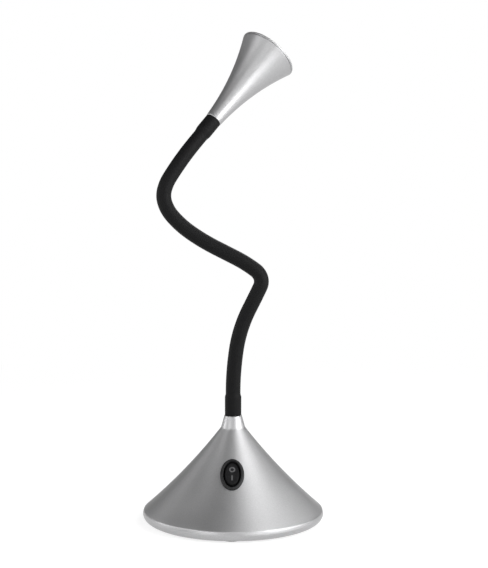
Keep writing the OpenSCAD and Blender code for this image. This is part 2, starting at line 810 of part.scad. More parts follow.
// The raised marks: a ring for off above a bar for on
module rocker_marks(t) {
    ring_d = well_w * 0.38;
    bar_w = well_w * 0.09;
    translate([0, well_h * 0.17, 0]) difference() {
        cylinder(d = ring_d, h = t);
        translate([0, 0, -overrun]) cylinder(d = ring_d - 2 * bar_w, h = t + 2 * overrun);
    }
    translate([-bar_w / 2, -well_h * 0.17 - ring_d / 2, 0]) cube([bar_w, ring_d, t]);
}

function contact_depth() = body_depth - 4 * contact_t - contact_l / 2 * sin(contact_tilt);
module at_contact() {
    at_switch() translate([0, 0, -contact_depth()]) children();
}
module switch_plunger() {
    reach = contact_depth() + bezel_t - pivot_depth - contact_t / 2 - plunger_gap - plunger_d / 2;
    color([0.85, 0.85, 0.82]) at_pivot() rotate([-rocker_tilt, 0, 0]) {
        translate([0, 0, -reach]) cylinder(d = plunger_d, h = reach + pivot_pin_d / 2);
        translate([0, 0, -reach]) sphere(d = plunger_d);
    }
}
module switch_contact() {
    color([0.8, 0.55, 0.3]) at_contact() rotate([contact_tilt, 0, 0]) {
        translate([-contact_w / 2, -contact_l / 2, -contact_t / 2]) cube([contact_w, contact_l, contact_t]);
        for (y = [-1, 1]) translate([0, y * (contact_l / 2 - contact_w / 3), -contact_t])
            cylinder(d = contact_w / 2, h = contact_t);
    }
}
module switch_terminals() {
    floor_top = -body_depth + 2 * contact_t;
    color([0.8, 0.6, 0.35]) at_switch() for (y = blade_places()) {
        top = y == 0 ? -contact_depth() - contact_t - fit : floor_top + contact_t / 4;
        difference() {
            translate([-blade_w / 2, y - contact_t / 2, -body_depth - blade_l])
                cube([blade_w, contact_t, body_depth + blade_l + top]);
            translate([0, y, -body_depth - blade_l * 0.6]) rotate([90, 0, 0])
                cylinder(d = blade_w / 3, h = 2 * contact_t, center = true);
        }
    }
}

// The head, in the frame of the arm's end with +Z towards the mouth
module head_solid(inset, from, to) {
    line = head_line(inset);
    rotate_extrude($fn = 144) polygon(concat(
        [[0, from], [line_r(line, from), from]],
        [for (p = line) if (p[1] > from && p[1] < to) p],
        [[line_r(line, to), to], [0, to]]));
}
module head_shell() {
    outer = [for (p = head_line(0)) if (p[1] < head_l - mouth_round) p];
    mouth = [head_mouth_d / 2, head_l];
    color([0.74, 0.75, 0.77]) at_head() difference() {
        rotate_extrude($fn = 144) polygon(concat(
            [[0, 0]], outer,
            rounded(outer[len(outer) - 1], mouth, [0, head_l], mouth_round, 4),
            [[0, head_l]]));
        head_solid(head_wall, stem_l, head_l + overrun);
        translate([0, 0, -overrun]) cylinder(d = stud_d + 2 * fit, h = stem_l + 2 * overrun);
    }
}
module heat_sink() {
    slot_w = head_wall;
    color([0.6, 0.61, 0.63]) at_head() difference() {
        head_solid(head_wall + fit, sink_back(), sink_front());
        for (i = [0:sink_slots - 1]) rotate([0, 0, 360 * i / sink_slots])
            translate([head_neck_d / 2, -slot_w / 2, sink_back() - overrun])
                cube([head_mouth_d, slot_w, sink_l - 2 * led_board_t + overrun]);
        translate([0, 0, sink_back() - overrun]) cylinder(d = lead_d + 2 * fit, h = sink_l + 2 * overrun);
        at_board_screws() cylinder(d = board_screw_d + 2 * fit, h = 3 * chip_t, center = true);
    }
}
module at_board_screws() {
    for (a = [0, 180]) rotate([0, 0, a])
        translate([reflector_eye_d / 2 + board_screw_d, 0, sink_front()]) children();
}
module led_board() {
    board_r = line_r(head_line(head_wall), sink_front()) - head_wall;
    color([0.92, 0.92, 0.9]) at_head() difference() {
        translate([0, 0, sink_front()]) cylinder(r = board_r, h = led_board_t);
        at_board_screws() cylinder(d = board_screw_d + 2 * fit, h = 3 * led_board_t, center = true);
    }
}
module led_chip() {
    color([0.95, 0.85, 0.4]) at_head() translate([0, 0, board_front()]) {
        translate([-chip_w / 2, -chip_w / 2, 0]) cube([chip_w, chip_w, chip_t / 2]);
        translate([0, 0, chip_t / 2]) cylinder(d = chip_w * 0.8, h = chip_t / 2);
    }
}
module board_screws() {
    color([0.75, 0.75, 0.72]) at_head() at_board_screws() {
        translate([0, 0, led_board_t]) cylinder(d = 1.5 * board_screw_d, h = chip_t / 2);
        translate([0, 0, -chip_t]) cylinder(d = board_screw_d, h = chip_t + led_board_t);
    }
}
module reflector() {
    from = board_front() + chip_t;
    to = lens_back();
    mouth_r = lens_r() - reflector_wall;
    steps = 10;
    bowl = [for (i = [0:steps])
        let (t = i / steps)
        [reflector_eye_d / 2 + (mouth_r - reflector_eye_d / 2) * pow(t, 0.6), from + (to - from) * t]];
    color([0.88, 0.88, 0.9]) at_head() rotate_extrude($fn = 96) polygon(concat(
        bowl,
        [for (i = [steps:-1:0]) bowl[i] + [reflector_wall, 0]]));
}
function spigot_r() = line_r(head_line(head_wall + fit), lens_back());
function ring_eye_r() = spigot_r() - ring_w;
function lens_r() = spigot_r() - ring_w / 2;
module lens() {
    dome_r = ring_eye_r() - ring_gap;
    dome_curve = (dome_r * dome_r + lens_dome * lens_dome) / 2 / lens_dome;
    color([0.95, 0.95, 0.92]) at_head() translate([0, 0, lens_back()]) {
        cylinder(r = lens_r(), h = lens_t, $fn = 144);
        intersection() {
            translate([0, 0, lens_t + lens_dome - dome_curve]) sphere(r = dome_curve, $fn = 180);
            translate([0, 0, lens_t / 2]) cylinder(r = dome_r, h = lens_t + lens_dome, $fn = 144);
        }
    }
}
// The ring that holds the lens: a spigot in the mouth, and a flange that carries the flare on
module lens_ring() {
    front = head_l + ring_proud;
    seat = head_l + ring_gap;
    lens_front = lens_back() + lens_t + fit;
    inner = head_line(head_wall + fit);
    outer = head_line(0);
    color([0.74, 0.75, 0.77]) at_head() rotate_extrude($fn = 144) polygon(concat(
        [[lens_r() + fit, lens_back()], [spigot_r(), lens_back()], [line_r(inner, seat), seat]],
        [[line_r(outer, seat), seat]],
        rounded([line_r(outer, seat), seat], [line_r(outer, front), front], [0, front], ring_round, 6),
        [[ring_eye_r(), front], [ring_eye_r(), lens_front], [lens_r() + fit, lens_front]]));
}

base_shell();
base_plate();
ballast_weight();
foot_pads();
base_screws();
cable_gland();
neck_nut();
neck_washer();
lower_ferrule();
driver_case();
driver_board();
driver_components();
terminal_block();
base_leads();
switch_housing();
switch_terminals();
switch_rocker();
switch_plunger();
switch_contact();
for (i = [1:link_count]) {
    number = i < 10 ? str("0", i) : str(i);
    arm_sleeve(i);
    arm_core(i);
    arm_lead(i);
}
upper_ferrule();
head_shell();
heat_sink();
led_board();
led_chip();
reflector();
lens();
lens_ring();
board_screws();
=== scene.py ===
"""Gooseneck desk lamp: the pieces that show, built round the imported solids.

The base and the head are turned outlines in silver paint, the arm is a rubber sleeve made in
lengths that follow its bends, and the switch is an oval bezel with a rocker in it.
"""

import json
import logging
import math
from dataclasses import dataclass
from enum import Enum
from typing import Sequence

import bmesh
import bpy
from mathutils import Matrix, Vector


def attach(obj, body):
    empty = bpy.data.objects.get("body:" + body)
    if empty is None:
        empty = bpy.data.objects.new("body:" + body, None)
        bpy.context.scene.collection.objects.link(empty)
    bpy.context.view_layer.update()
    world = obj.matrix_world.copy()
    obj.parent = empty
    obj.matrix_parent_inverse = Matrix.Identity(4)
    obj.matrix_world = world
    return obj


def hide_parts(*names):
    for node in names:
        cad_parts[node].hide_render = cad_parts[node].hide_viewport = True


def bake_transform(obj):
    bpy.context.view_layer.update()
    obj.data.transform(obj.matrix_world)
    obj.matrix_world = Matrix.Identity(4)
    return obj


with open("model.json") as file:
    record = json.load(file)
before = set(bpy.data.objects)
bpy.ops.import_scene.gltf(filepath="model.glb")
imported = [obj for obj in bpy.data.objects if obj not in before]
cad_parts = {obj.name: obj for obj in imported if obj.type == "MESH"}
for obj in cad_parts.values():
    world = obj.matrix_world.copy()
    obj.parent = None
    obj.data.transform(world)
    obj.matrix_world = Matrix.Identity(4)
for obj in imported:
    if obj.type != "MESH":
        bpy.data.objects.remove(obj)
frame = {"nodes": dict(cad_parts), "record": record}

MM = 0.001
MERGE_GAP = 1e-7
SHARP_DEG = 35
NOISE_RANGE = (0.3, 0.7)
WHITE = (1, 1, 1, 1)
Point2 = tuple[float, float]
Colour = tuple[float, float, float]
log = logging.getLogger("lamp")


# Outlines


def round_corner(
    before: Point2, corner: Point2, after: Point2, radius: float, steps: int = 8
) -> list[Point2]:
    """The arc that rounds one corner of an outline.

    Args:
        before: The point before the corner, as (radius, height).
        corner: The corner that the arc replaces.
        after: The point after the corner.
        radius: The arc's radius.
        steps: The number of straight runs in the arc.

    Returns:
        The arc's points, from the side of before to the side of after.
    """
    here = Vector(corner)
    u = (Vector(before) - here).normalized()
    v = (Vector(after) - here).normalized()
    half = u.angle(v) / 2
    centre = here + (u + v).normalized() * radius / math.sin(half)
    arm = here + u * radius / math.tan(half) - centre
    side = -1 if u.x * v.y - u.y * v.x > 0 else 1
    sweep = side * (math.pi - 2 * half)
    turns = [Matrix.Rotation(sweep * i / steps, 2) for i in range(steps + 1)]
    return [tuple(centre + turn @ arm) for turn in turns]


def hollow_arc(start: Point2, end: Point2, radius: float, steps: int = 40) -> list[Point2]:
    """A slightly hollow line from start up to end, as one arc that bulges towards the axis.

    Args:
        start: The lower point, as (radius, height).
        end: The upper point.
        radius: The arc's radius.
        steps: The number of straight runs in the arc.

    Returns:
        The arc's points, both ends included.
    """
    a, b = Vector(start), Vector(end)
    chord = b - a
    out = Vector((chord.y, -chord.x)).normalized()
    centre = (a + b) / 2 + out * math.sqrt(radius**2 - chord.length_squared / 4)
    sweep = 2 * math.asin(chord.length / 2 / radius)
    turns = [Matrix.Rotation(-sweep * i / steps, 2) for i in range(steps + 1)]
    return [tuple(centre + turn @ (a - centre)) for turn in turns]


# Meshes


def finish_mesh(bm: bmesh.types.BMesh, name: str, sharp_deg: float = SHARP_DEG) -> bpy.types.Object:
    """Turns a bmesh into a smooth-shaded object at the origin.

    Args:
        bm: The mesh to use up.
        name: The piece's name.
        sharp_deg: Edges that turn by more than this stay sharp.

    Returns:
        The new object, linked to the scene.
    """
    bmesh.ops.remove_doubles(bm, verts=bm.verts, dist=MERGE_GAP)
    bmesh.ops.recalc_face_normals(bm, faces=bm.faces)
    mesh = bpy.data.meshes.new(name)
    bm.to_mesh(mesh)
    bm.free()
    mesh.shade_smooth()
    mesh.set_sharp_from_angle(angle=math.radians(sharp_deg))
    piece = bpy.data.objects.new(name, mesh)
    bpy.context.scene.collection.objects.link(piece)
    return piece


def cut_out(piece: bpy.types.Object, cutter: bpy.types.Object) -> None:
    """Cuts one piece's solid out of another and removes the cutter.

    Args:
        piece: The piece that gets the hole.
        cutter: The solid of the hole.
    """
    change = piece.modifiers.new("cut", "BOOLEAN")
    change.operation, change.solver, change.object = "DIFFERENCE", "EXACT", cutter
    shape = piece.evaluated_get(bpy.context.evaluated_depsgraph_get())
    cut_mesh = bpy.data.meshes.new_from_object(shape)
    piece.modifiers.remove(change)
    old_mesh, piece.data = piece.data, cut_mesh
    cutter_mesh = cutter.data
    bpy.data.objects.remove(cutter)
    for mesh in (old_mesh, cutter_mesh):
        bpy.data.meshes.remove(mesh)
    cut_mesh.name = piece.name
    cut_mesh.shade_smooth()
    cut_mesh.set_sharp_from_angle(angle=math.radians(SHARP_DEG))


def turned(name: str, outline: Sequence[Point2], place: Matrix, steps: int) -> bpy.types.Object:
    """A turned piece: a closed outline spun once round the axis.

    Args:
        name: The piece's name.
        outline: Points as (radius, height). The last is joined to the first, unless both are
            on the axis.
        place: Where the piece's own axis stands in the row frame.
        steps: The number of faces round the axis.

    Returns:
        The piece, with its place in its mesh.
    """
    bm = bmesh.new()
    verts = [bm.verts.new((radius, 0, height)) for radius, height in outline]
    edges = [bm.edges.new(pair) for pair in zip(verts, verts[1:])]
    if outline[0][0] > 0 or outline[-1][0] > 0:
        edges.append(bm.edges.new((verts[-1], verts[0])))
    bmesh.ops.spin(
        bm, geom=verts + edges, cent=(0, 0, 0), axis=(0, 0, 1), dvec=(0, 0, 0),
        angle=2 * math.pi, steps=steps, use_merge=True, use_duplicate=False,
    )
    bmesh.ops.transform(bm, matrix=place, verts=bm.verts)
    return finish_mesh(bm, name)


def lofted(bm: bmesh.types.BMesh, stations: Sequence[Matrix], sides: int) -> None:
    """Adds a closed tube: a unit circle carried through a row of places, with both ends capped.

    Args:
        bm: The mesh to add to.
        stations: Each place turns, scales and moves the unit circle.
        sides: The number of faces round the tube.
    """
    made = bmesh.ops.create_circle(bm, cap_ends=True, radius=1, segments=sides, matrix=stations[0])
    ring = list({edge for vert in made["verts"] for edge in vert.link_edges})
    for last, place in zip(stations, stations[1:]):
        grown = bmesh.ops.extrude_edge_only(bm, edges=ring)["geom"]
        moved = [item for item in grown if isinstance(item, bmesh.types.BMVert)]
        ring = [item for item in grown if isinstance(item, bmesh.types.BMEdge)]
        ring = [edge for edge in ring if all(vert in moved for vert in edge.verts)]
        bmesh.ops.transform(bm, matrix=place @ last.inverted(), verts=moved)
    bmesh.ops.contextual_create(bm, geom=ring)


def oval(half_width: float, half_height: float, height: float) -> Matrix:
    """The place of an oval slice: the unit circle scaled, at a height over its own origin."""
    return Matrix.Translation((0, 0, height)) @ Matrix.Diagonal((half_width, half_height, 1, 1))


def rounded_ovals(
    half_width: float, half_height: float, top: float, radius: float, steps: int, rise: bool = True
) -> list[Matrix]:
    """Oval slices that round an edge over, outer edge first.

    Args:
        half_width: Half the width before the edge is rounded.
        half_height: Half the height before the edge is rounded.
        top: The height of the face that the edge rounds into.
        radius: The edge's radius. A negative one rounds an inner edge.
        steps: The number of slices after the first.
        rise: True to go from the wall to the face, False to go from the face to the wall.

    Returns:
        The places of the slices.
    """
    slices = []
    for i in range(steps + 1):
        angle = math.pi / 2 * (i / steps if rise else 1 - i / steps)
        inset = radius * (1 - math.cos(angle))
        lift = top - abs(radius) * (1 - math.sin(angle))
        slices.append(oval(half_width - inset, half_height - inset, lift))
    return slices


# Finishes


class Grain(Enum):
    """How a finish's fine pattern runs, as its scale along X, Y and Z."""

    EVEN = (1.0, 1.0, 1.0)
    DRAWN = (1.0, 1.0, 0.05)
    ROLLED = (0.06, 1.0, 1.0)


class PatternBench:
    """A new material, with short ways to build the patterns that feed its shader."""

    def __init__(self, name: str) -> None:
        """Makes the material with its shader.

        Args:
            name: The material's name.
        """
        self.material = bpy.data.materials.new(name)
        self.material.use_nodes = True
        self.nodes = self.material.node_tree.nodes
        self.links = self.material.node_tree.links
        self.shader = self.nodes["Principled BSDF"]
        self.place = self.nodes.new("ShaderNodeTexCoord").outputs["Object"]

    def set(self, **values: float) -> None:
        """Sets the shader's own values. An underscore in a name stands for a space."""
        for name, value in values.items():
            self.shader.inputs[name.replace("_", " ")].default_value = value

    def noise(
        self, cell: float, grain: Grain = Grain.EVEN, detail: float = 2
    ) -> bpy.types.NodeSocket:
        """A noise pattern.

        Args:
            cell: The size of its patches in metres.
            grain: How the patches are drawn out.
            detail: The octaves of finer noise in it.

        Returns:
            The pattern's value.
        """
        stretch = self.nodes.new("ShaderNodeMapping")
        stretch.inputs["Scale"].default_value = grain.value
        noise = self.nodes.new("ShaderNodeTexNoise")
        noise.inputs["Scale"].default_value = 1 / cell
        noise.inputs["Detail"].default_value = detail
        self.links.new(self.place, stretch.inputs["Vector"])
        self.links.new(stretch.outputs["Vector"], noise.inputs["Vector"])
        return noise.outputs["Fac"]

    def tint(self, pattern: bpy.types.NodeSocket, colour: Colour, spread: float) -> None:
        """Lets the colour go darker and lighter with a pattern.

        Args:
            pattern: The pattern's value.
            colour: The colour in the middle.
            spread: The share by which it goes each way.
        """
        ramp = self.nodes.new("ShaderNodeValToRGB")
        ends = zip(ramp.color_ramp.elements, (1 - spread, 1 + spread), NOISE_RANGE)
        for end, share, place in ends:
            end.position = place
            end.color = (*(min(1.0, part * share) for part in colour), 1)
        self.links.new(pattern, ramp.inputs["Fac"])
        self.links.new(ramp.outputs["Color"], self.shader.inputs["Base Color"])

    def gloss(self, pattern: bpy.types.NodeSocket, roughness: float, spread: float) -> None:
        """Lets the roughness drift with a pattern.

        Args:
            pattern: The pattern's value.
            roughness: The roughness in the middle.
            spread: How far it goes each way.
        """
        drift = self.nodes.new("ShaderNodeMapRange")
        drift.inputs["From Min"].default_value, drift.inputs["From Max"].default_value = NOISE_RANGE
        drift.inputs["To Min"].default_value = roughness - spread
        drift.inputs["To Max"].default_value = roughness + spread
        self.links.new(pattern, drift.inputs["Value"])
        self.links.new(drift.outputs["Result"], self.shader.inputs["Roughness"])

    def relief(self, pattern: bpy.types.NodeSocket, height: float) -> None:
        """Raises a fine relief with a pattern.

        Args:
            pattern: The pattern's value.
            height: The relief's height in metres.
        """
        bump = self.nodes.new("ShaderNodeBump")
        bump.inputs["Strength"].default_value = 1
        bump.inputs["Distance"].default_value = height
        self.links.new(pattern, bump.inputs["Height"])
        self.links.new(bump.outputs["Normal"], self.shader.inputs["Normal"])


@dataclass(frozen=True)
class Finish:
    """A finish whose colour and gloss drift a little, with a fine grain on its surface."""

    name: str
    colour: Colour
    roughness: float
    metallic: float = 0.0
    specular: float = 0.5
    mottle: float = 0.08
    mottle_cell: float = 3 * MM
    gloss_drift: float = 0.05
    grain: Grain = Grain.EVEN
    grain_cell: float = 0.5 * MM
    grain_height: float = 0.01 * MM

    def build(self) -> bpy.types.Material:
        """Builds the finish.

        Returns:
            The material.
        """
        bench = PatternBench(self.name)
        bench.set(Metallic=self.metallic, Specular_IOR_Level=self.specular)
        cloud = bench.noise(self.mottle_cell, self.grain)
        bench.tint(cloud, self.colour, self.mottle)
        bench.gloss(cloud, self.roughness, self.gloss_drift)
        bench.relief(bench.noise(self.grain_cell, self.grain), self.grain_height)
        return bench.material


@dataclass(frozen=True)
class SilverPaint:
    """Satin silver paint: fine metal flakes under a faint orange-peel surface."""

    name: str = "silver_paint"
    colour: Colour = (0.42, 0.42, 0.425)
    roughness: float = 0.45
    gloss_drift: float = 0.02
    drift_cell: float = 25 * MM
    flake_cell: float = 0.55 * MM
    flake_spread: float = 0.07
    peel_cell: float = 1.6 * MM
    peel_height: float = 0.006 * MM

    def build(self) -> bpy.types.Material:
        """Builds the finish.

        Returns:
            The material.
        """
        bench = PatternBench(self.name)
        bench.set(Metallic=1.0)
        bench.tint(bench.noise(self.flake_cell), self.colour, self.flake_spread)
        bench.gloss(bench.noise(self.drift_cell), self.roughness, self.gloss_drift)
        bench.relief(bench.noise(self.peel_cell), self.peel_height)
        return bench.material


@dataclass(frozen=True)
class OpalAcrylic:
    """The lens's milky plastic, with a faint frost on its face."""

    name: str = "opal_lens"
    colour: Colour = (0.55, 0.55, 0.53)
    roughness: float = 0.3
    frost_cell: float = 0.6 * MM
    frost_height: float = 0.004 * MM
    cloud_cell: float = 9 * MM
    cloud_spread: float = 0.025
    depth: float = 3 * MM
    milkiness: float = 0.4

    def build(self) -> bpy.types.Material:
        """Builds the finish.

        Returns:
            The material.
        """
        bench = PatternBench(self.name)
        bench.set(Subsurface_Weight=self.milkiness, Subsurface_Scale=self.depth)
        bench.tint(bench.noise(self.cloud_cell), self.colour, self.cloud_spread)
        bench.gloss(bench.noise(self.cloud_cell), self.roughness, self.cloud_spread)
        bench.relief(bench.noise(self.frost_cell), self.frost_height)
        return bench.material


FINISHES = (
    SilverPaint(),
    OpalAcrylic(),
    Finish(
        "sleeve_rubber", (0.004, 0.004, 0.0043), 0.6, specular=0.12, mottle=0.25,
        mottle_cell=1.2 * MM, grain_cell=0.35 * MM, grain_height=0.012 * MM,
    ),
    Finish(
        "black_plastic", (0.016, 0.016, 0.0165), 0.45, specular=0.2, mottle=0.2,
        mottle_cell=1.5 * MM, grain_cell=0.25 * MM, grain_height=0.006 * MM,
    ),
    Finish(
        "rocker_plastic", (0.011, 0.011, 0.0115), 0.6, specular=0.05, mottle=0.25,
        mottle_cell=1.4 * MM, grain_cell=0.25 * MM, grain_height=0.008 * MM,
    ),
    Finish(
        "mark_paint", (0.085, 0.085, 0.087), 0.6, specular=0.3, mottle=0.3,
        mottle_cell=0.8 * MM,
    ),
    Finish(
        "plate_steel", (0.16, 0.165, 0.17), 0.55, metallic=0.2, mottle=0.15, mottle_cell=8 * MM,
        grain=Grain.ROLLED, grain_cell=0.8 * MM,
    ),
    Finish(
        "cast_weight", (0.10, 0.10, 0.105), 0.8, metallic=0.5, mottle=0.3, mottle_cell=2 * MM,
        grain_cell=1.2 * MM, grain_height=0.12 * MM,
    ),
    Finish(
        "foot_rubber", (0.03, 0.03, 0.031), 0.75, specular=0.3, mottle=0.2, grain_height=0.03 * MM
    ),
    Finish("zinc_steel", (0.62, 0.62, 0.60), 0.38, metallic=1.0, mottle=0.12, mottle_cell=1.5 * MM),
    Finish(
        "contact_brass", (0.75, 0.55, 0.25), 0.32, metallic=1.0, grain=Grain.DRAWN,
        grain_cell=0.3 * MM,
    ),
    Finish("white_plastic", (0.78, 0.78, 0.75), 0.45, mottle=0.03, grain_cell=0.4 * MM),
    Finish(
        "board_green", (0.03, 0.20, 0.08), 0.4, mottle=0.2, mottle_cell=0.9 * MM,
        grain_cell=0.7 * MM,
    ),
    Finish("component_dark", (0.05, 0.05, 0.055), 0.5, mottle=0.15, grain_cell=0.3 * MM),
    Finish("red_insulation", (0.45, 0.05, 0.04), 0.45, mottle=0.1, mottle_cell=2 * MM),
    Finish("lead_insulation", (0.74, 0.74, 0.71), 0.5, mottle=0.05, mottle_cell=2 * MM),
    Finish(
        "reflector_metal", (0.88, 0.88, 0.89), 0.14, metallic=1.0, mottle=0.03, gloss_drift=0.03,
        grain_cell=2 * MM, grain_height=0.004 * MM,
    ),
    Finish(
        "sink_aluminium", (0.58, 0.59, 0.61), 0.4, metallic=1.0, mottle=0.06, grain=Grain.ROLLED,
        grain_cell=0.4 * MM,
    ),
    Finish(
        "phosphor", (0.90, 0.68, 0.12), 0.5, mottle=0.12, mottle_cell=0.5 * MM,
        grain_cell=0.3 * MM,
    ),
    Finish(
        "core_steel", (0.45, 0.46, 0.48), 0.36, metallic=1.0, grain=Grain.DRAWN,
        grain_cell=0.4 * MM,
    ),
)


class Dresser:
    """Holds the built materials and puts them on pieces."""

    def __init__(self) -> None:
        """Builds every material once."""
        self.materials = {finish.name: finish.build() for finish in FINISHES}

    def dress(self, piece: bpy.types.Object, finish: str) -> bpy.types.Object:
        """Puts one finish on a new piece.

        Args:
            piece: The piece.
            finish: The finish's name.

        Returns:
            The piece.
        """
        piece.data.materials.clear()
        piece.data.materials.append(self.materials[finish])
        return piece

    def dress_nodes(self) -> None:
        """Puts the record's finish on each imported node."""
        for row in frame["record"]["subparts"]:
            node = frame["nodes"][row["node"]]
            for place in node.material_slots:
                place.material = self.materials[row["material_slot"]]


# The base


@dataclass
class Base:
    """The turned base: a rolled rim, a slightly hollow cone and a steep neck."""

    radius: float = 60 * MM
    height: float = 70.5 * MM
    floor: float = 1 * MM
    rim_height: float = 7.4 * MM
    rim_round: float = 4.5 * MM
    crease_round: float = 2 * MM
    crease_inset: float = 0.4 * MM
    cone_curve: float = 390 * MM
    neck_foot: float = 8 * MM
    neck_top: float = 5.8 * MM
    neck_height: float = 8 * MM
    neck_fillet: float = 4 * MM
    neck_bore: float = 3.05 * MM
    top_edge: float = 0.4 * MM
    wall: float = 1.6 * MM
    plate_edge: float = 54.8 * MM
    plate_top: float = 2.6 * MM
    inlet_radius: float = 4.55 * MM
    inlet_height: float = 17 * MM
    inlet_cut_length: float = 30 * MM
    inlet_cut_middle: float = 45 * MM
    sides: int = 256

    def cone(self, inset: float = 0) -> list[Point2]:
        """The cone's hollow line.

        Args:
            inset: How far it is set in from the outside.

        Returns:
            The line's points from the rim up.
        """
        foot = Vector((self.radius - self.crease_inset, self.rim_height))
        top = Vector((self.neck_foot, self.height - self.neck_height))
        inward = Vector((foot.y - top.y, top.x - foot.x)).normalized() * inset
        return hollow_arc(tuple(foot + inward), tuple(top + inward), self.cone_curve + inset)

    def cone_at(self, height: float) -> tuple[float, float]:
        """Where a height meets the cone.

        Args:
            height: The height over the table.

        Returns:
            The cone's radius there, and the elevation of its normal in radians.
        """
        line = self.cone()
        for low, high in zip(line, line[1:]):
            if low[1] <= height <= high[1]:
                share = (height - low[1]) / (high[1] - low[1])
                radius = low[0] + (high[0] - low[0]) * share
                return radius, math.atan2(low[0] - high[0], high[1] - low[1])
        raise ValueError("the height is off the cone")

    def outline(self) -> list[Point2]:
        """The shell's closed outline.

        Returns:
            The outline's points, outside first.
        """
        cone = self.cone()
        rim_foot, rim_top = (self.radius, self.floor), (self.radius, self.rim_height)
        neck_top = (self.neck_top, self.height)
        plate_foot = (self.plate_edge, self.floor)
        outside = [
            plate_foot,
            *round_corner(plate_foot, rim_foot, rim_top, self.rim_round, steps=12),
            *round_corner(rim_foot, cone[0], cone[1], self.crease_round, steps=8),
            *cone[2:-2],  # The arcs before and after take up the cone's ends
            *round_corner(cone[-2], cone[-1], neck_top, self.neck_fillet, steps=10),
            *round_corner(cone[-1], neck_top, (0, self.height), self.top_edge, steps=4),
            (self.neck_bore, self.height),
        ]
        seat = self.height - self.neck_height - self.wall
        inner = [point for point in self.cone(self.wall) if self.rim_height < point[1] < seat]
        rim_in = self.radius - self.wall
        inside = [
            (self.neck_bore, inner[-1][1]),
            *reversed(inner),
            (rim_in, self.rim_height - self.wall / 2),
            (rim_in, self.rim_round),
            (rim_in - self.rim_round / 2, self.plate_top),
            (self.plate_edge, self.plate_top),
        ]
        return outside + inside

    def inlet(self) -> bpy.types.Object:
        """Makes the solid of the hole at the back that the inlet's bush fills.

        Returns:
            The solid.
        """
        bm = bmesh.new()
        bmesh.ops.create_cone(
            bm, cap_ends=True, segments=64, radius1=self.inlet_radius, radius2=self.inlet_radius,
            depth=self.inlet_cut_length,
        )
        stand = Matrix.Translation((0, self.inlet_cut_middle, self.inlet_height))
        lie = Matrix.Rotation(math.pi / 2, 4, "X")
        bmesh.ops.transform(bm, matrix=stand @ lie, verts=bm.verts)
        return finish_mesh(bm, "inlet_opening")

    def build(self, openings: Sequence[bpy.types.Object], dresser: Dresser) -> None:
        """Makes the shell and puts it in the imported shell's place.

        Args:
            openings: The solids of the openings for the switch and the inlet.
            dresser: Puts on the finishes.
        """
        shell = turned("base_skin", self.outline(), Matrix.Identity(4), steps=self.sides)
        for opening in openings:
            cut_out(shell, opening)
        dresser.dress(shell, "silver_paint")
        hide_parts("base_shell")
        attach(shell, "base")
        log.info("base skin made, %d faces", len(shell.data.polygons))


# The switch


class Mark(Enum):
    """The two marks on the rocker."""

    OFF = "off"
    ON = "on"


